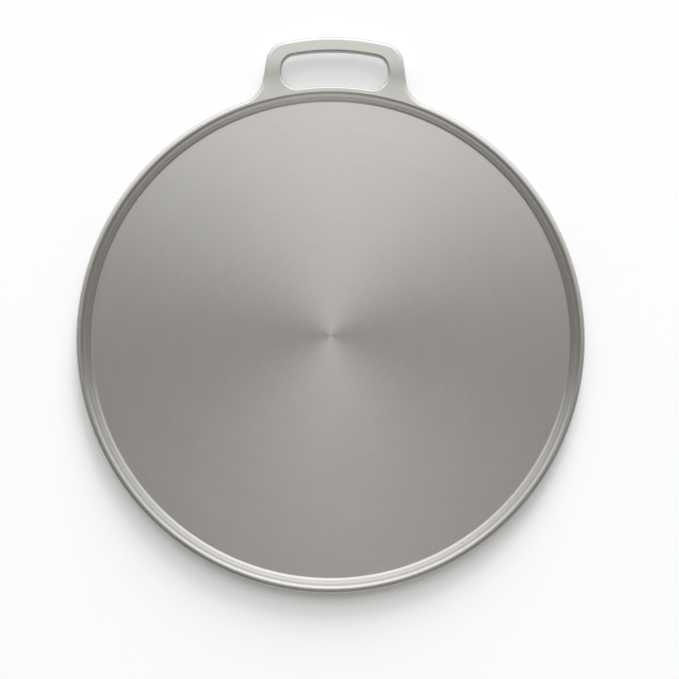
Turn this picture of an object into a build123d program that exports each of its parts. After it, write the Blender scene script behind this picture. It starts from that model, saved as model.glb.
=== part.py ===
from build123d import *
import math
import os

# Round rimmed pizza pan with one short loop handle, in millimetres.
# +Z is up, the handle points along +Y, and the origin is on the pan's axis,
# on the flat underside that stands on the table.

# ---- Driving dimensions ----

# Base: an aluminium disc sealed between the deck and a thin steel cap.
cap_sheet = 0.6
cap_radius = 170.0
cap_corner = 2.4
core_thickness = 4.0

# Deck pan: one spun sheet, flat in the middle, with a short riser and a coned flange.
deck_sheet = 1.2
deck_edge_radius = 179.8
flange_inner_radius = 181.0
flange_outer_radius = 187.0
riser_height = 1.2
flange_tilt_deg = 10.0
deck_corner = 1.4
flange_corner = 2.4

# Rim frame: one ring that laps over the flange, with the handle in one piece with it.
frame_radius = 190.5
frame_thickness = 4.4
rim_rise = 3.8
lap_radius = 182.1
lap_edge_height = 0.3
lap_ramp_radius = 183.4
lap_thickness = 0.5
step_foot_radius = 185.1
step_top_radius = 186.5
rebate_radius = 187.5
frame_top_round = 2.5
frame_bottom_round = 1.5
step_top_round = 0.8
step_foot_round = 0.6
lap_ramp_round = 2.0

# Handle: a flat loop, its two legs splayed, cranked up a little to clear the table.
handle_reach = 229.4
handle_arc_radius = 175.0
bar_width = 12.0
leg_half_width_at_root = 56.9
leg_root_y = 181.8
leg_splay_deg = 8.6
leg_width = 13.0
handle_corner = 17.0
handle_root_blend = 21.0
slot_root_radius = 190.9
slot_top_corner = 10.0
slot_root_corner = 12.0
slot_top_round = 2.0
slot_bottom_round = 1.5
crank_start_y = 187.6
crank_length = 24.0
crank_rise = 1.0

# Plug welds: through holes in the flange, square to its slope, into the rim frame above.
weld_count = 24
weld_hole_radius = 1.2
weld_head_radius = 1.9
weld_head_height = 0.4
weld_circle_radius = 184.9
weld_drill_length = 4.8

# How far a cutting shape runs past the body that it cuts.
overrun = 1.0

# An edge that rises less than this per unit of length runs along a face of the frame, not up its side.
steepest_run = 0.7

# How near a measured size or place has to be to its nominal value.
tolerance = 0.01

# ---- Heights that follow from them ----

deck_bottom = cap_sheet + core_thickness
deck_top = deck_bottom + deck_sheet
rim_top = deck_top + rim_rise
frame_bottom = rim_top - frame_thickness


def flange_top(radius):
    """The height of the flange's upper face at a radius."""
    slope = math.tan(math.radians(flange_tilt_deg))
    return deck_top + riser_height + slope * (radius - flange_inner_radius)


ramp_top = flange_top(lap_ramp_radius) + lap_thickness
step_foot_top = flange_top(step_foot_radius) + lap_thickness

os.makedirs("parts", exist_ok=True)

# ---- Base cap: a shallow steel dish that closes the base ----

with BuildPart() as base_cap:
    with BuildSketch(Plane.XZ):
        with BuildLine():
            skin = FilletPolyline(
                (0, 0),
                (cap_radius, 0),
                (cap_radius, deck_bottom),
                radius=cap_corner,
            )
            offset(skin, amount=cap_sheet, side=Side.LEFT)
        make_face()
    revolve(axis=Axis.Z)

base_cap.part.label = "base_cap"
export_step(base_cap.part, "parts/base_cap.step")

# ---- Core disc: the heat spreader that fills the cap ----

with BuildPart() as core_disc:
    with BuildSketch(Plane.XY.offset(cap_sheet)):
        Circle(cap_radius - cap_sheet)
    extrude(amount=core_thickness)
    core_lower_edge = core_disc.edges().group_by(Axis.Z)[0]
    fillet(core_lower_edge, radius=cap_corner - cap_sheet)

core_disc.part.label = "core_disc"
export_step(core_disc.part, "parts/core_disc.step")

# ---- Deck pan: the sheet that the pizza lies on ----

# Where a weld sits on the flange's upper face, leaning with the slope.
weld_seat = Location((0, 0, flange_top(weld_circle_radius)), (0, -flange_tilt_deg, 0))

with BuildPart() as deck_pan:
    with BuildSketch(Plane.XZ):
        with BuildLine():
            top_face = FilletPolyline(
                (0, deck_top),
                (deck_edge_radius, deck_top),
                (flange_inner_radius, flange_top(flange_inner_radius)),
                (flange_outer_radius, flange_top(flange_outer_radius)),
                radius=[deck_corner, flange_corner],
            )
            offset(top_face, amount=deck_sheet, side=Side.RIGHT)
        make_face()
    revolve(axis=Axis.Z)
    with PolarLocations(weld_circle_radius, weld_count, start_angle=180 / weld_count):
        with Locations(weld_seat):
            Cylinder(weld_hole_radius, weld_drill_length, mode=Mode.SUBTRACT)

deck_pan.part.label = "deck_pan"
export_step(deck_pan.part, "parts/deck_pan.step")

# ---- Rim frame: the ring and its loop handle ----

leg_slope = math.tan(math.radians(leg_splay_deg))
handle_centre_y = handle_reach - handle_arc_radius
slot_arc_radius = handle_arc_radius - bar_width
side_gap = leg_width / math.cos(math.radians(leg_splay_deg))


def leg_half_width(y):
    """Half the handle's outer width at height y, on its straight splayed side."""
    return leg_half_width_at_root + leg_slope * (leg_root_y - y)


with BuildSketch() as handle_outline:
    with BuildLine():
        foot_y = leg_root_y - handle_root_blend
        tip_y = handle_reach + handle_corner
        Polyline(
            (-leg_half_width(foot_y), foot_y),
            (leg_half_width(foot_y), foot_y),
            (leg_half_width(tip_y), tip_y),
            (-leg_half_width(tip_y), tip_y),
            close=True,
        )
    make_face()
    with Locations((0, handle_centre_y)):
        Circle(handle_arc_radius, mode=Mode.INTERSECT)
    top_corners = handle_outline.vertices().group_by(Axis.Y)[-1]
    fillet(top_corners, radius=handle_corner)

with BuildSketch() as slot_outline:
    with BuildLine():
        slot_foot_y = slot_root_radius - slot_root_corner
        Polyline(
            (-leg_half_width(slot_foot_y) + side_gap, slot_foot_y),
            (leg_half_width(slot_foot_y) - side_gap, slot_foot_y),
            (leg_half_width(tip_y) - side_gap, tip_y),
            (-leg_half_width(tip_y) + side_gap, tip_y),
            close=True,
        )
    make_face()
    with Locations((0, handle_centre_y)):
        Circle(slot_arc_radius, mode=Mode.INTERSECT)
    Circle(slot_root_radius, mode=Mode.SUBTRACT)
    fillet(slot_outline.vertices().group_by(Axis.Y)[-1], radius=slot_top_corner)
    fillet(slot_outline.vertices().group_by(Axis.Y)[0], radius=slot_root_corner)

with BuildSketch() as frame_outline:
    Circle(frame_radius)
    add(handle_outline.sketch)
    root_corners = [
        corner
        for corner in frame_outline.vertices()
        if abs(math.hypot(corner.X, corner.Y) - frame_radius) < tolerance and abs(corner.X) > tolerance
    ]
    fillet(root_corners, radius=handle_root_blend)

with BuildPart() as rim_frame:
    # A plate in the shape of the whole outline.
    add(frame_outline.sketch)
    extrude(amount=rim_top + crank_rise)

    # Keep a slab of even thickness: level over the ring, cranked up along the legs.
    with BuildSketch(Plane.YZ):
        with BuildLine():
            back_y = -frame_radius - overrun
            front_y = handle_reach + overrun
            crank_end_y = crank_start_y + crank_length
            crank_middle = (crank_start_y + crank_length / 2, rim_top + crank_rise / 2)
            level_line = Line((back_y, rim_top), (crank_start_y, rim_top))
            lower_bend = TangentArc(level_line @ 1, crank_middle, tangent=(1, 0))
            upper_bend = TangentArc(crank_middle, (crank_end_y, rim_top + crank_rise), tangent=lower_bend % 1)
            bar_line = Line(upper_bend @ 1, (front_y, rim_top + crank_rise))
            offset(amount=frame_thickness, side=Side.RIGHT)
        make_face()
    extrude(amount=frame_radius + overrun, both=True, mode=Mode.INTERSECT)

    # The finger slot through the handle.
    add(slot_outline.sketch)
    extrude(amount=rim_top + crank_rise, mode=Mode.SUBTRACT)

    # The hollow of the ring: step, ledge and lap above, rebate for the flange below.
    with BuildSketch(Plane.XZ):
        with BuildLine():
            Polyline(
                (0, frame_bottom - overrun),
                (rebate_radius, frame_bottom - overrun),
                (rebate_radius, flange_top(rebate_radius)),
                (lap_radius, flange_top(lap_radius)),
                (lap_radius, flange_top(lap_radius) + lap_edge_height),
                (lap_ramp_radius, ramp_top),
                (step_foot_radius, step_foot_top),
                (step_top_radius, rim_top),
                (step_top_radius, rim_top + crank_rise + overrun),
                (0, rim_top + crank_rise + overrun),
                close=True,
            )
        make_face()
    revolve(axis=Axis.Z, mode=Mode.SUBTRACT)

    # Round every edge that a hand meets.
    mid_height = (rim_top + frame_bottom + crank_rise) / 2
    slot_half_width = leg_half_width(foot_y) - leg_width
    slot_top_y = handle_reach - bar_width

    def meets_upright_face(edge):
        """Whether an edge borders a face that stands upright at the edge's middle."""
        middle = edge @ 0.5
        borders = [face for face in rim_frame.faces() if edge in face.edges()]
        return any(abs(face.normal_at(middle).Z) < tolerance for face in borders)

    def side_edges(in_slot, upper):
        """The long edges of the outer side, or of the slot, on one face of the slab."""
        chosen = []
        for edge in rim_frame.edges():
            middle = edge @ 0.5
            outside_ring = math.hypot(middle.X, middle.Y) > frame_radius - frame_bottom_round
            inside_loop = abs(middle.X) < slot_half_width and 0 < middle.Y < slot_top_y + tolerance
            along_face = abs((edge % 0.5).Z) < steepest_run
            on_this_side = inside_loop == in_slot and (middle.Z > mid_height) == upper
            if outside_ring and along_face and on_this_side and meets_upright_face(edge):
                chosen.append(edge)
        return chosen

    def circles_at(radius, height):
        """The circular edges of one radius at one height."""
        level = rim_frame.edges().filter_by(GeomType.CIRCLE).filter_by_position(
            Axis.Z, height - tolerance, height + tolerance
        )
        return level.filter_by(lambda edge: abs(edge.radius - radius) < tolerance)

    fillet(side_edges(in_slot=False, upper=True), radius=frame_top_round)
    fillet(side_edges(in_slot=True, upper=True), radius=slot_top_round)
    fillet(side_edges(in_slot=False, upper=False), radius=frame_bottom_round)
    fillet(side_edges(in_slot=True, upper=False), radius=slot_bottom_round)
    fillet(circles_at(step_top_radius, rim_top), radius=step_top_round)
    fillet(circles_at(step_foot_radius, step_foot_top), radius=step_foot_round)
    fillet(circles_at(lap_ramp_radius, ramp_top), radius=lap_ramp_round)

rim_frame.part.label = "rim_frame"
export_step(rim_frame.part, "parts/rim_frame.step")

# ---- Plug welds: one group of weld buttons under the flange ----

with BuildPart() as one_weld:
    with BuildSketch(Plane.XZ):
        with BuildLine():
            head_bottom = -deck_sheet - weld_head_height
            Polyline(
                (0, head_bottom),
                (0, 0),
                (weld_hole_radius, 0),
                (weld_hole_radius, -deck_sheet),
                (weld_head_radius, -deck_sheet),
            )
            TangentArc((0, head_bottom), (weld_head_radius, -deck_sheet), tangent=(1, 0))
        make_face()
    revolve(axis=Axis.Z)

with BuildPart() as plug_welds:
    with PolarLocations(weld_circle_radius, weld_count, start_angle=180 / weld_count):
        with Locations(weld_seat):
            add(one_weld.part)

plug_welds.part.label = "plug_welds"
export_step(plug_welds.part, "parts/plug_welds.step")
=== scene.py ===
"""A round rimmed pizza pan with a loop handle, seen from above on a pale studio floor."""
import math

import bpy
from mathutils import Matrix, Vector
from mathutils.geometry import delaunay_2d_cdt


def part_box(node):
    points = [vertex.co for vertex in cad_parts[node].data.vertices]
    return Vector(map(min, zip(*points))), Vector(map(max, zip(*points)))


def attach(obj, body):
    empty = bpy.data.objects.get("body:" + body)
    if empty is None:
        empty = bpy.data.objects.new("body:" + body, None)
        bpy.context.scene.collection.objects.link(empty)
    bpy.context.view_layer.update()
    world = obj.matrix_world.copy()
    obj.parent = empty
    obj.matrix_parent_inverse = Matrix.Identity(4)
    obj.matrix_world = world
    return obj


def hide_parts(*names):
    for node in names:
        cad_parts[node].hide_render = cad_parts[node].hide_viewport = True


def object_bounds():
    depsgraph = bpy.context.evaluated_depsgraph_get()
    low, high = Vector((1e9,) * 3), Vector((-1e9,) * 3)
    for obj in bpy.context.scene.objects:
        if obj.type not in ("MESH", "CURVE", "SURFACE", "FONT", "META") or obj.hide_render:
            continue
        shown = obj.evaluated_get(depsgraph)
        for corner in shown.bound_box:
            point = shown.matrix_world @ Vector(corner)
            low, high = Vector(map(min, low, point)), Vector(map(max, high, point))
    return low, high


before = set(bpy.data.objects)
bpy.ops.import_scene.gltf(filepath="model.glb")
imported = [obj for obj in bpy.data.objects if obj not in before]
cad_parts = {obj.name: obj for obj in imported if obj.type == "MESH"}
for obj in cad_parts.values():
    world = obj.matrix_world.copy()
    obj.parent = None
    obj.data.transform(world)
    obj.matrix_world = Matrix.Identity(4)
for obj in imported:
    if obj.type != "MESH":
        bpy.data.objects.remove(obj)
cad_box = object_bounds()
MM = 0.001

# ---- Sizes, in millimetres ----

frame_low, frame_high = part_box("rim_frame")
_, cap_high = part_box("base_cap")

# The pan: a deck, a short riser and a sloping flange, over a shallow base cap.
cap_radius = cap_high.x / MM
cap_sheet = 0.6
cap_corner = 2.4
deck_bottom = cap_high.z / MM
deck_sheet = 1.2
deck_top = deck_bottom + deck_sheet
deck_edge_radius = 179.8
deck_corner = 1.4
riser_height = 1.2
flange_start = 181.0
flange_end = 187.0
flange_slope = math.tan(math.radians(10.0))
flange_corner = 2.4
sheet_edge_round = 0.3

# The frame's section: a lap over the flange, a ramp, a step up and the crest.
ring_radius = -frame_low.y / MM
crank_rise = 1.0
rim_top = frame_high.z / MM - crank_rise
frame_thickness = 4.4
frame_bottom = rim_top - frame_thickness
lap_radius = 182.1
lap_edge_height = 0.3
lap_edge_round = 0.2
lap_ramp_radius = 183.4
lap_ramp_round = 2.0
lap_thickness = 0.5
step_foot_radius = 185.1
step_foot_round = 0.6
step_top_radius = 186.5
step_top_round = 0.8
crest_radius = 187.3
rebate_radius = 187.5
bead_width, bead_drop = 3.0, 2.0
slot_bead_width, slot_bead_drop = 2.0, 1.8
under_round = 1.5

# The handle, its finger slot, and the crank that lifts it.
handle_arc_radius = 175.0
handle_arc_y = frame_high.y / MM - handle_arc_radius
bar_width = 12.0
leg_root = (56.9, 181.8)
leg_splay = math.radians(8.6)
leg_width = 13.0
handle_corner = 17.0
handle_blend = 21.0
slot_root_radius = ring_radius + 0.4
slot_top_corner = 10.0
slot_root_corner = 12.0
crank_start = 187.6
crank_length = 24.0

# How finely round shapes are cut.
around = 720
ring_step = math.radians(360 / around)
bar_step = math.radians(1)
outer_corner_step = math.radians(4)
slot_corner_step = math.radians(5)
side_steps = 10
corner_steps = 6
longest_gap = 1.7
shortest_gap = 1e-4
merge_gap = 1e-7
same_place = 1e-6


def flange_height(radius):
    """The height of the flange's upper face at a radius."""
    return deck_top + riser_height + flange_slope * (radius - flange_start)


# The pan's upper face, from the deck outward: (radius, height, rounding).
DECK_EDGE = (deck_edge_radius, deck_top, deck_corner)
FLANGE_EDGE = (flange_start, flange_height(flange_start), flange_corner)

# The frame's upper face, from the lap's inner edge out to the crest.
LAP_FOOT = (lap_radius, flange_height(lap_radius), 0.0)
LAP_EDGE = (lap_radius, flange_height(lap_radius) + lap_edge_height, lap_edge_round)
LAP_RAMP = (lap_ramp_radius, flange_height(lap_ramp_radius) + lap_thickness, lap_ramp_round)
STEP_FOOT = (step_foot_radius, flange_height(step_foot_radius) + lap_thickness, step_foot_round)
STEP_TOP = (step_top_radius, rim_top, step_top_round)
CREST = (crest_radius, rim_top, 0.0)


# ---- Meshes made of closed loops ----

class Shell:
    """A mesh built from loops of points, with its own smooth normal at every face corner."""

    def __init__(self):
        self.points = []
        self.faces = []
        self.corner_normals = []

    def loop(self, points):
        first = len(self.points)
        self.points.extend(points)
        return range(first, len(self.points))

    def face(self, indices, normals):
        self.faces.append(tuple(indices))
        self.corner_normals.extend(normals)

    def bridge(self, a, b, normals_a, normals_b):
        """Faces between two loops of the same count. A loop may be one point many times over."""
        count = len(a)
        for i in range(count):
            j = (i + 1) % count
            corners = [
                (a[i], normals_a[i]),
                (b[i], normals_b[i]),
                (b[j], normals_b[j]),
                (a[j], normals_a[j]),
            ]
            if a[i] == a[j]:
                corners.pop()
            if b[i] == b[j]:
                corners.pop(2)
            self.face([point for point, _ in corners], [normal for _, normal in corners])

    def fill(self, loops, keep, normal_at, flip):
        """Triangles between closed loops that lie in one gently bent sheet."""
        indices = [i for loop in loops for i in loop]
        flat = [Vector(self.points[i][:2]) for i in indices]
        edges = []
        start = 0
        for loop in loops:
            edges += [(start + k, start + (k + 1) % len(loop)) for k in range(len(loop))]
            start += len(loop)
        inside_constraints = 1
        found = delaunay_2d_cdt(flat, edges, [], inside_constraints, merge_gap)
        corners, _, triangles, sources, _, _ = found
        for triangle in triangles:
            middle = sum((corners[t] for t in triangle), Vector((0.0, 0.0))) / 3
            if keep(middle):
                order = [indices[sources[t][0]] for t in triangle]
                if flip:
                    order.reverse()
                self.face(order, [normal_at(self.points[i]) for i in order])

    def build(self, name, node, material, body="root"):
        mesh = bpy.data.meshes.new(name)
        mesh.from_pydata([tuple(MM * c for c in p) for p in self.points], [], self.faces)
        mesh.polygons.foreach_set("use_smooth", [True] * len(self.faces))
        mesh.normals_split_custom_set([tuple(n) for n in self.corner_normals])
        mesh.materials.append(material)
        piece = bpy.data.objects.new(name, mesh)
        bpy.context.scene.collection.objects.link(piece)
        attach(piece, body)
        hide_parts(node)
        return piece


def rounded_corner(before, corner, after, radius):
    """Points and normals of a rounded corner in a profile; the normal is on the left of travel."""
    a, b, c = Vector(before), Vector(corner), Vector(after)
    into, out = (b - a).normalized(), (c - b).normalized()
    turn = math.atan2(into.x * out.y - into.y * out.x, into.dot(out))
    left_in = Vector((-into.y, into.x))
    if radius == 0:
        left_out = Vector((-out.y, out.x))
        return [(b, left_in), (b, left_out)]
    reach = radius * math.tan(abs(turn) / 2)
    start = b - into * reach
    side = 1 if turn > 0 else -1
    centre = start + left_in * radius * side
    points = []
    for k in range(corner_steps + 1):
        angle = turn * k / corner_steps
        normal = Vector((
            left_in.x * math.cos(angle) - left_in.y * math.sin(angle),
            left_in.x * math.sin(angle) + left_in.y * math.cos(angle),
        ))
        points.append((centre - normal * radius * side, normal))
    return points


def profile(corners):
    """Turns (radius, height, rounding) corners into profile points with normals."""
    points = []
    for k, (r, z, rounding) in enumerate(corners):
        here = Vector((r, z))
        if k == 0 or k == len(corners) - 1:
            there = Vector(corners[1][:2]) if k == 0 else here
            back = here if k == 0 else Vector(corners[k - 1][:2])
            along = (there - back).normalized()
            points.append((here, Vector((-along.y, along.x))))
        else:
            points += rounded_corner(corners[k - 1][:2], (r, z), corners[k + 1][:2], rounding)
    return points


turns = [2 * math.pi * k / around for k in range(around)]


def circle(radius, z):
    return [(radius * math.cos(t), radius * math.sin(t), z) for t in turns]


def circle_normals(normal):
    return [Vector((normal.x * math.cos(t), normal.x * math.sin(t), normal.y)) for t in turns]


def revolve(shell, points):
    """Sweeps a profile round the axis, and gives back its first and last loops."""
    loops = []
    for k, (place, normal) in enumerate(points):
        if k > 0 and (place - points[k - 1][0]).length < same_place:
            here = loops[-1][0]
        elif place.x == 0:
            here = [shell.loop([(0.0, 0.0, place.y)])[0]] * around
        else:
            here = shell.loop(circle(place.x, place.y))
        loops.append((here, circle_normals(normal)))
    for (a, normals_a), (b, normals_b) in zip(loops, loops[1:]):
        if a is not b:
            shell.bridge(a, b, normals_a, normals_b)
    return loops[0][0], loops[-1][0]


# ---- Outline of the frame and its finger slot ----

leg_normal = Vector((math.cos(leg_splay), math.sin(leg_splay)))
leg_along = Vector((-leg_normal.y, leg_normal.x))
leg_line = leg_normal.dot(Vector(leg_root))


def touching_centre(line, pole_y, reach):
    """The upper point on a line parallel to the leg that is a given distance from (0, pole_y)."""
    base = leg_normal * line - Vector((0, pole_y))
    along = base.dot(leg_along)
    half_chord = math.sqrt(along ** 2 - base.length_squared + reach ** 2)
    return leg_normal * line + leg_along * (-along + half_chord)


def arc_points(centre, radius, start, end, step):
    """Points and outward normals on an arc, by the normal's angle. A negative radius is a hollow arc."""
    count = max(2, math.ceil(abs(end - start) / step))
    out = []
    for k in range(count + 1):
        angle = start + (end - start) * k / count
        normal = Vector((math.cos(angle), math.sin(angle)))
        out.append((Vector(centre) + normal * radius, normal))
    return out


def mirrored(right_half):
    """The whole loop, from its right half that runs from the top centre to the bottom centre."""
    left_half = [(Vector((-p.x, p.y)), Vector((-n.x, n.y))) for p, n in reversed(right_half)]
    whole = right_half + left_half[1:-1]
    even = [whole[0]]
    for place, normal in whole[1:]:
        start = even[-1][0]
        gap = (place - start).length
        pieces = math.ceil(gap / longest_gap)
        for k in range(1, pieces):
            even.append((start.lerp(place, k / pieces), normal))
        if gap > shortest_gap:
            even.append((place, normal))
    return even


def frame_outline():
    """The frame's outer edge: the handle's bar and legs, then the ring."""
    top = Vector((0, handle_arc_y))
    corner_reach = handle_arc_radius - handle_corner
    corner = touching_centre(leg_line - handle_corner, handle_arc_y, corner_reach)
    blend = touching_centre(leg_line + handle_blend, 0, ring_radius + handle_blend)
    corner_turn = math.atan2(corner.y - handle_arc_y, corner.x)
    blend_turn = math.atan2(blend.y, blend.x)
    half = arc_points(top, handle_arc_radius, math.pi / 2, corner_turn, bar_step)
    half += arc_points(corner, handle_corner, corner_turn, leg_splay, outer_corner_step)
    half += arc_points(blend, -handle_blend, leg_splay, blend_turn, outer_corner_step)
    half += arc_points((0, 0), ring_radius, blend_turn, -math.pi / 2, ring_step)
    return mirrored(half)


def slot_outline():
    """The finger slot's edge: inside the bar and legs, then along the ring."""
    inner_line = leg_line - leg_width
    arc_radius = handle_arc_radius - bar_width
    corner = touching_centre(inner_line - slot_top_corner, handle_arc_y, arc_radius - slot_top_corner)
    root = touching_centre(inner_line - slot_root_corner, 0, slot_root_radius + slot_root_corner)
    corner_turn = math.atan2(corner.y - handle_arc_y, corner.x)
    root_turn = math.atan2(root.y, root.x) - math.pi
    half = arc_points((0, handle_arc_y), arc_radius, math.pi / 2, corner_turn, bar_step)
    half += arc_points(corner, slot_top_corner, corner_turn, leg_splay, slot_corner_step)
    half += arc_points(root, slot_root_corner, leg_splay, root_turn, slot_corner_step)
    half += arc_points((0, 0), -slot_root_radius, root_turn, -math.pi / 2, ring_step)
    return mirrored(half)


def crank(y):
    """How far the handle has risen at y, and its slope there."""
    bend = (crank_length ** 2 + crank_rise ** 2) / (4 * crank_rise)
    run = min(max(y - crank_start, 0.0), crank_length)
    if run <= crank_length / 2:
        drop = math.sqrt(bend ** 2 - run ** 2)
        return bend - drop, run / drop
    left = crank_length - run
    drop = math.sqrt(bend ** 2 - left ** 2)
    return crank_rise - (bend - drop), left / drop


def sheet_normal(y, face):
    """The unit normal of the upper face (1) or lower face (-1) of the slab at y."""
    slope = crank(y)[1]
    return Vector((0, -slope, 1)).normalized() * face


def side_loops(shell, outline, outward, top_width, top_drop):
    """The rounded side of the slab along an outline, as loops from the upper face to the lower."""
    quarter = [math.pi / 2 * k / side_steps for k in range(side_steps + 1)]
    sections = [(top_width, top_drop, angle, 1) for angle in quarter]
    sections += [(under_round, under_round, angle, -1) for angle in reversed(quarter)]
    loops = []
    for width, drop, angle, face in sections:
        points, normals = [], []
        lean = Vector((drop * math.sin(angle), width * math.cos(angle))).normalized()
        for place, normal in outline:
            out = normal * outward
            here = place - out * width * (1 - math.sin(angle))
            rise, slope = crank(here.y)
            thickness = (rim_top - frame_bottom) * math.sqrt(1 + slope ** 2)
            level = rim_top + rise - (0.0 if face == 1 else thickness)
            points.append((here.x, here.y, level - face * drop * (1 - math.cos(angle))))
            side = Vector((out.x, out.y, 0))
            normals.append((side * lean.x + sheet_normal(here.y, face) * lean.y).normalized())
        loops.append((shell.loop(points), normals))
    for (a, normals_a), (b, normals_b) in zip(loops, loops[1:]):
        if outward > 0:
            shell.bridge(b, a, normals_b, normals_a)
        else:
            shell.bridge(a, b, normals_a, normals_b)
    return loops[0][0], loops[-1][0]


def inside(point, loop):
    """Whether a point is inside a closed loop of flat points."""
    crossings = False
    previous = loop[-1]
    for here in loop:
        if (here[1] > point.y) != (previous[1] > point.y):
            share = (point.y - previous[1]) / (here[1] - previous[1])
            crossings ^= point.x < previous[0] + share * (here[0] - previous[0])
        previous = here
    return crossings


def build_frame(material):
    """The ring with its lap, step and lip, and the handle, as one closed shell."""
    shell = Shell()
    outer, slot = frame_outline(), slot_outline()
    outer_top, outer_bottom = side_loops(shell, outer, 1, bead_width, bead_drop)
    slot_top, slot_bottom = side_loops(shell, slot, -1, slot_bead_width, slot_bead_drop)

    rebate = [(rebate_radius, frame_bottom, 0.0), (rebate_radius, flange_height(rebate_radius), 0.0)]
    upper = [LAP_FOOT, LAP_EDGE, LAP_RAMP, STEP_FOOT, STEP_TOP, CREST]
    foot, crest = revolve(shell, profile(rebate + upper))

    def patch(rim_loop, slot_loop, hole_loop, hole_radius, face):
        slot_points = [shell.points[i] for i in slot_loop]

        def keep(middle):
            return middle.length > hole_radius and not inside(middle, slot_points)

        def normal_at(point):
            return sheet_normal(point[1], face)

        shell.fill([rim_loop, slot_loop, hole_loop], keep, normal_at, flip=face < 0)

    patch(outer_top, slot_top, crest, crest_radius, 1)
    patch(outer_bottom, slot_bottom, foot, rebate_radius, -1)
    return shell.build("frame_ring_and_handle", "rim_frame", material)


def build_pan(material):
    """The deck sheet and its flange, as one closed shell."""
    shell = Shell()
    riser_turn = math.atan2(riser_height, flange_start - deck_edge_radius)
    flange_turn = math.atan(flange_slope)
    foot_shift = deck_sheet * math.tan(riser_turn / 2)
    knee = (riser_turn + flange_turn) / 2
    knee_reach = deck_sheet / math.cos((riser_turn - flange_turn) / 2)
    knee_under_r = flange_start + knee_reach * math.sin(knee)
    knee_under_z = flange_height(flange_start) - knee_reach * math.cos(knee)
    edge_z = flange_height(flange_end)
    edge_under_r = flange_end + deck_sheet * math.sin(flange_turn)
    edge_under_z = edge_z - deck_sheet * math.cos(flange_turn)
    revolve(shell, profile([
        (0.0, deck_top, 0.0),
        DECK_EDGE,
        FLANGE_EDGE,
        (flange_end, edge_z, sheet_edge_round),
        (edge_under_r, edge_under_z, sheet_edge_round),
        (knee_under_r, knee_under_z, flange_corner + deck_sheet),
        (deck_edge_radius + foot_shift, deck_bottom, deck_corner - deck_sheet),
        (0.0, deck_bottom, 0.0),
    ]))
    return shell.build("deck_sheet", "deck_pan", material)


def build_base(material):
    """The shallow cap under the pan, as one closed shell."""
    shell = Shell()
    inner = cap_radius - cap_sheet
    revolve(shell, profile([
        (0.0, cap_sheet, 0.0),
        (inner, cap_sheet, cap_corner - cap_sheet),
        (inner, deck_bottom, 0.0),
        (cap_radius, deck_bottom, 0.0),
        (cap_radius, 0.0, cap_corner),
        (0.0, 0.0, 0.0),
    ]))
    return shell.build("base_cover", "base_cap", material)


# ---- Small helpers for node materials ----

class Nodes:
    """A short way to add and join nodes in one node tree."""

    def __init__(self, tree):
        self.tree = tree
        tree.nodes.clear()

    def add(self, kind, inputs=(), **settings):
        node = self.tree.nodes.new(kind)
        for name, value in settings.items():
            setattr(node, name, value)
        for name, value in dict(inputs).items():
            self.put(value, node.inputs[name])
        return node

    def put(self, value, socket):
        """Links an output socket to an input, or sets the input to a plain value."""
        if isinstance(value, bpy.types.NodeSocket):
            self.tree.links.new(value, socket)
        else:
            socket.default_value = value

    def place(self):
        """The shaded point in the object's own coordinates, in metres."""
        return self.add("ShaderNodeTexCoord").outputs["Object"]

    def math(self, operation, a, b=0.0):
        return self.add("ShaderNodeMath", {0: a, 1: b}, operation=operation).outputs[0]

    def remap(self, value, low, high, to_low, to_high):
        """A value taken from one range to another, held at the ends."""
        inputs = {"Value": value, "From Min": low, "From Max": high, "To Min": to_low, "To Max": to_high}
        return self.add("ShaderNodeMapRange", inputs).outputs["Result"]

    def spread(self, noise, to_low, to_high):
        """Takes 0.3 to 0.7, the range that noise mostly fills, to another range."""
        return self.remap(noise, 0.3, 0.7, to_low, to_high)

    def noise(self, vector, scale, detail, roughness):
        inputs = {"Vector": vector, "Scale": scale, "Detail": detail, "Roughness": roughness}
        return self.add("ShaderNodeTexNoise", inputs).outputs[0]

    def mix(self, factor, a, b):
        """Mixes two colours. The Mix node has its colour inputs at 6 and 7, and its colour output at 2."""
        node = self.add("ShaderNodeMix", data_type="RGBA")
        self.put(factor, node.inputs[0])
        self.put(a, node.inputs[6])
        self.put(b, node.inputs[7])
        return node.outputs[2]


def new_material(name):
    """An empty node material, and the helper for its nodes."""
    material = bpy.data.materials.new(name)
    material.use_nodes = True
    return material, Nodes(material.node_tree)


def finish_metal(nodes, colour, roughness, height, strength, distance, more=()):
    """Ends a metal's nodes: a bump from a height, the shader and the output."""
    bump = nodes.add("ShaderNodeBump", {"Height": height, "Strength": strength, "Distance": distance})
    shader = nodes.add("ShaderNodeBsdfPrincipled", {
        "Base Color": colour,
        "Metallic": 1.0,
        "Roughness": roughness,
        "Normal": bump.outputs[0],
        **dict(more),
    })
    nodes.add("ShaderNodeOutputMaterial", {"Surface": shader.outputs[0]})


def grey(level, warmth):
    """A near-neutral linear colour, a little redder and less blue as warmth grows."""
    return (level * (1 + warmth), level, level * (1 - 1.6 * warmth), 1.0)


# ---- Metals ----

def spun_coordinates(nodes):
    """Radius from the pan's axis in metres, and the two parts of the direction away from the axis."""
    parts = nodes.add("ShaderNodeSeparateXYZ", {0: nodes.place()})
    x, y = parts.outputs["X"], parts.outputs["Y"]
    squares = nodes.math("ADD", nodes.math("MULTIPLY", x, x), nodes.math("MULTIPLY", y, y))
    radius = nodes.math("SQRT", squares)
    never_zero = nodes.math("MAXIMUM", radius, 0.0005)
    return radius, nodes.math("DIVIDE", x, never_zero), nodes.math("DIVIDE", y, never_zero)


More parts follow.
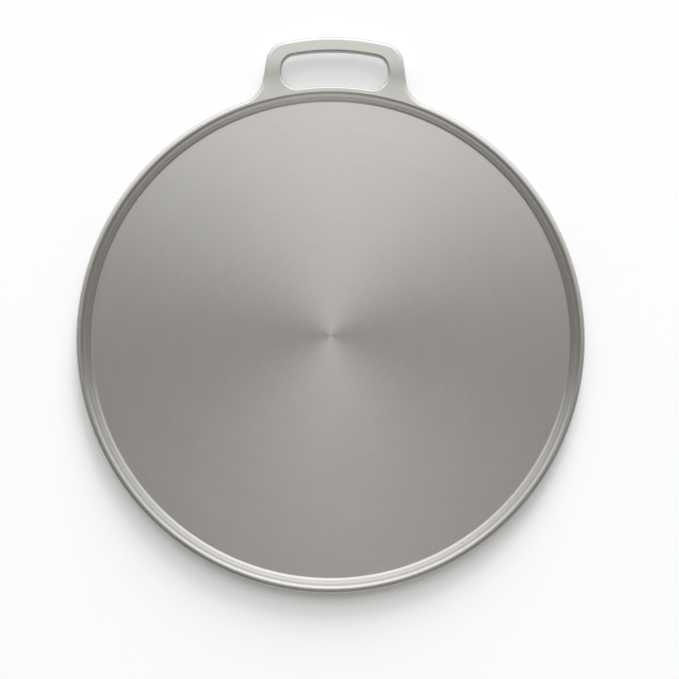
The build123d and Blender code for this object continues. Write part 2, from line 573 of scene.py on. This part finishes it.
def spun_vector(nodes, coordinates, pitch, arc):
    """A noise vector whose grain is one unit per pitch outward and per arc round the axis."""
    radius, turn_x, turn_y = coordinates
    across = nodes.math("DIVIDE", radius, pitch)
    along_x = nodes.math("MULTIPLY", turn_x, arc)
    along_y = nodes.math("MULTIPLY", turn_y, arc)
    return nodes.add("ShaderNodeCombineXYZ", {"X": across, "Y": along_x, "Z": along_y}).outputs[0]


def spun_steel(name, anisotropic, dark, light):
    """Steel brushed in circles about the pan's axis, between two colours."""
    material, nodes = new_material(name)
    coordinates = spun_coordinates(nodes)
    fine = nodes.noise(spun_vector(nodes, coordinates, pitch=0.00035, arc=9.0), 1.0, 3.0, 0.6)
    coarse = nodes.noise(spun_vector(nodes, coordinates, pitch=0.0022, arc=3.0), 1.0, 2.0, 0.5)
    cloud = nodes.noise(nodes.place(), 14.0, 2.0, 0.5)
    grain = nodes.math("ADD", nodes.math("MULTIPLY", fine, 0.65), nodes.math("MULTIPLY", coarse, 0.35))
    streaks = nodes.math("ADD", nodes.math("MULTIPLY", grain, 0.8), nodes.math("MULTIPLY", cloud, 0.2))
    colour = nodes.mix(nodes.spread(streaks, 0.0, 1.0), dark, light)
    tangent = nodes.add("ShaderNodeTangent", direction_type="RADIAL", axis="Z")
    brushing = {
        "Anisotropic": anisotropic,
        "Anisotropic Rotation": 0.25,
        "Tangent": tangent.outputs[0],
    }
    roughness = nodes.spread(grain, 0.36, 0.42)
    finish_metal(nodes, colour, roughness, grain, strength=0.08, distance=0.0002, more=brushing)
    return material


def brushed_deck():
    """The deck's fine circular brushing."""
    return spun_steel("brushed_deck", 0.55, grey(0.52, 0.012), grey(0.59, 0.01))


def turned_step():
    """The lathe-turned finish of the riser, ledge and step, more strongly lined than the deck."""
    return spun_steel("turned_step", 0.9, grey(0.54, 0.01), grey(0.61, 0.008))


def satin_rim():
    """Steel with an even, directionless satin finish."""
    material, nodes = new_material("satin_rim")
    place = nodes.place()
    speckle = nodes.noise(place, 1800.0, 2.0, 0.6)
    cloud = nodes.noise(place, 30.0, 3.0, 0.55)
    both = nodes.math("ADD", nodes.math("MULTIPLY", speckle, 0.5), nodes.math("MULTIPLY", cloud, 0.5))
    colour = nodes.mix(nodes.spread(both, 0.0, 1.0), grey(0.53, 0.01), grey(0.6, 0.008))
    roughness = nodes.spread(cloud, 0.4, 0.46)
    finish_metal(nodes, colour, roughness, speckle, strength=0.06, distance=0.0002)
    return material


def base_steel():
    """The underside: concentric turning lines, crossed by light rub marks from cooking grates."""
    material, nodes = new_material("base_steel")
    place = nodes.place()
    lines = nodes.noise(spun_vector(nodes, spun_coordinates(nodes), pitch=0.0008, arc=4.0), 1.0, 3.0, 0.6)
    stretched = nodes.add("ShaderNodeMapping", {"Vector": place, "Scale": (12.0, 900.0, 1.0)}).outputs[0]
    scratches = nodes.noise(stretched, 1.0, 2.0, 0.5)
    patches = nodes.noise(place, 22.0, 2.0, 0.5)
    rubbed = nodes.math(
        "MULTIPLY",
        nodes.remap(scratches, 0.56, 0.68, 0.0, 1.0),
        nodes.remap(patches, 0.45, 0.6, 0.0, 1.0),
    )
    lined = nodes.mix(nodes.spread(lines, 0.0, 1.0), grey(0.42, 0.02), grey(0.52, 0.015))
    colour = nodes.mix(rubbed, lined, grey(0.66, 0.01))
    height = nodes.math("SUBTRACT", lines, nodes.math("MULTIPLY", rubbed, 0.6))
    roughness = nodes.remap(rubbed, 0.0, 1.0, 0.42, 0.3)
    finish_metal(nodes, colour, roughness, height, strength=0.12, distance=0.0003)
    return material


def weld_metal():
    """Cleaned weld buttons: a little darker, with a faint straw tint and a rippled skin."""
    material, nodes = new_material("weld_metal")
    place = nodes.place()
    ripples = nodes.noise(place, 1400.0, 3.0, 0.6)
    tint = nodes.noise(place, 260.0, 2.0, 0.5)
    colour = nodes.mix(nodes.remap(tint, 0.4, 0.65, 0.0, 1.0), grey(0.42, 0.01), grey(0.4, 0.12))
    roughness = nodes.spread(ripples, 0.34, 0.5)
    finish_metal(nodes, colour, roughness, ripples, strength=0.35, distance=0.0003)
    return material


def core_aluminium():
    """Plain rolled aluminium, with the faint straight lines of the rolls."""
    material, nodes = new_material("core_aluminium")
    stretch = {"Vector": nodes.place(), "Scale": (1200.0, 25.0, 25.0)}
    lines = nodes.noise(nodes.add("ShaderNodeMapping", stretch).outputs[0], 1.0, 3.0, 0.6)
    dark, light = (0.66, 0.67, 0.68, 1.0), (0.75, 0.76, 0.77, 1.0)
    colour = nodes.mix(nodes.spread(lines, 0.0, 1.0), dark, light)
    roughness = nodes.spread(lines, 0.32, 0.4)
    finish_metal(nodes, colour, roughness, lines, strength=0.05, distance=0.0002)
    return material


def set_material(node_name, material):
    """Gives a carried-over CAD node its finish."""
    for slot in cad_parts[node_name].material_slots:
        slot.link = "OBJECT"
        slot.material = material


def turn_faces(piece, material, inner, outer):
    """Gives a piece's faces between two radii the turned finish."""
    piece.data.materials.append(material)
    for face in piece.data.polygons:
        if inner < face.center.to_2d().length / MM < outer:
            face.material_index = 1


turned = turned_step()
turn_faces(build_pan(brushed_deck()), turned, deck_edge_radius, ring_radius)
turn_faces(build_frame(satin_rim()), turned, 0.0, crest_radius)
build_base(base_steel())
set_material("plug_welds", weld_metal())
set_material("core_disc", core_aluminium())


# ---- Floor ----

def floor():
    """A plain pale floor, 0.05 mm below the base so that the two faces never share a plane."""
    low = cad_box[0].z - 0.05 * MM
    half = 6.0
    mesh = bpy.data.meshes.new("floor")
    corners = [(-half, -half, low), (half, -half, low), (half, half, low), (-half, half, low)]
    mesh.from_pydata(corners, [], [(0, 1, 2, 3)])
    plane = bpy.data.objects.new("floor", mesh)
    bpy.context.scene.collection.objects.link(plane)
    material, nodes = new_material("floor")
    shader = nodes.add("ShaderNodeBsdfPrincipled", {
        "Base Color": (0.89, 0.9, 0.925, 1.0),
        "Roughness": 0.9,
        "Emission Color": (1.0, 1.0, 1.0, 1.0),
        "Emission Strength": 0.1,
    })
    nodes.add("ShaderNodeOutputMaterial", {"Surface": shader.outputs[0]})
    mesh.materials.append(material)


floor()


# ---- Light ----

def soft_light(name, place, aim, width, height, power):
    """A rectangular soft light at one place, facing another."""
    data = bpy.data.lights.new(name, "AREA")
    data.shape = "RECTANGLE"
    data.size, data.size_y = width, height
    data.energy = power
    lamp = bpy.data.objects.new(name, data)
    bpy.context.scene.collection.objects.link(lamp)
    lamp.location = place
    lamp.rotation_mode = "QUATERNION"
    lamp.rotation_quaternion = (Vector(aim) - Vector(place)).to_track_quat("-Z", "Y")


def low_sun(name, elevation, azimuth, spread, strength):
    """A broad low light, left out of reflections, that draws the pan's long soft shadow on the floor."""
    data = bpy.data.lights.new(name, "SUN")
    data.energy = strength
    data.angle = spread
    lamp = bpy.data.objects.new(name, data)
    bpy.context.scene.collection.objects.link(lamp)
    toward = Vector((
        math.cos(elevation) * math.sin(azimuth),
        math.cos(elevation) * math.cos(azimuth),
        math.sin(elevation),
    ))
    lamp.rotation_mode = "QUATERNION"
    lamp.rotation_quaternion = (-toward).to_track_quat("-Z", "Y")
    lamp.visible_glossy = False


soft_light("key", place=(0.0, 2.7, 1.45), aim=(0.0, 0.0, 0.0), width=4.0, height=2.0, power=22.0)
low_sun(
    "shadow_light",
    elevation=math.radians(15),
    azimuth=math.radians(8),
    spread=math.radians(26),
    strength=3.2,
)


def studio_world():
    """A soft surround: a bright bank behind the handle, and a dimmer, warmer room all round."""
    overhead_level = 0.56
    glow_level = 0.45
    bank_level = 1.28
    centre_shift = 0.05
    world = bpy.data.worlds.new("studio")
    bpy.context.scene.world = world
    world.use_nodes = True
    nodes = Nodes(world.node_tree)
    direction = nodes.add("ShaderNodeTexCoord").outputs["Generated"]
    parts = nodes.add("ShaderNodeSeparateXYZ", {0: direction})
    ahead, upward = parts.outputs["Y"], parts.outputs["Z"]

    # The room: brightest overhead, dimmer at both sides and in front, with a glow low down except ahead.
    side = nodes.math("ABSOLUTE", nodes.math("SUBTRACT", parts.outputs["X"], centre_shift))
    at_sides = nodes.remap(side, 0.05, 0.4, 1.0, 0.3)
    at_front = nodes.remap(ahead, -0.45, -0.12, 0.66, 1.0)
    overhead = nodes.math("MULTIPLY", nodes.math("MULTIPLY", at_sides, at_front), overhead_level)
    low_down = nodes.remap(upward, 0.05, 0.6, glow_level, 0.0)
    not_ahead = nodes.remap(ahead, 0.0, 0.4, 1.0, 0.0)
    room_strength = nodes.math("ADD", overhead, nodes.math("MULTIPLY", low_down, not_ahead))

    # The bank: it starts a little ahead of straight up and fades towards the horizon.
    bank_ahead = nodes.remap(ahead, 0.2, 0.42, 0.0, bank_level)
    bank_fade = nodes.remap(upward, 0.0, 0.7, 0.7, 1.0)
    bank_strength = nodes.math("MULTIPLY", bank_ahead, bank_fade)

    room = nodes.add("ShaderNodeBackground", {"Color": (1.0, 0.96, 0.88, 1.0), "Strength": room_strength})
    bank = nodes.add("ShaderNodeBackground", {"Color": (1.0, 1.0, 0.985, 1.0), "Strength": bank_strength})
    lit = nodes.add("ShaderNodeAddShader", {0: room.outputs[0], 1: bank.outputs[0]})
    seen = nodes.add("ShaderNodeLightPath").outputs["Is Camera Ray"]
    shown = nodes.add("ShaderNodeBackground", {"Color": (0.93, 0.93, 0.93, 1.0), "Strength": 1.0})
    both = nodes.add("ShaderNodeMixShader", {0: seen, 1: lit.outputs[0], 2: shown.outputs[0]})
    nodes.add("ShaderNodeOutputWorld", {"Surface": both.outputs[0]})


studio_world()
bpy.context.scene.view_settings.view_transform = "Standard"


# ---- Camera ----

def camera():
    """Almost straight down, leaning back a few degrees so that the handle is at the far side."""
    distance = 0.847
    tilt = math.radians(5.0)
    roll = math.radians(0.85)
    aim = Vector((0.0067, -0.0024, 0.0))
    ahead = Vector((0.0, math.sin(tilt), -math.cos(tilt)))
    right = Vector((1.0, 0.0, 0.0))
    up = right.cross(ahead)
    turned_right = right * math.cos(roll) + up * math.sin(roll)
    turned_up = up * math.cos(roll) - right * math.sin(roll)
    data = bpy.data.cameras.new("camera")
    data.lens = 59.4
    data.sensor_width = 36.0
    eye = bpy.data.objects.new("camera", data)
    bpy.context.scene.collection.objects.link(eye)
    eye.matrix_world = Matrix.Translation(aim - ahead * distance) @ Matrix(
        (turned_right, turned_up, -ahead)
    ).transposed().to_4x4()
    bpy.context.scene.camera = eye


camera()
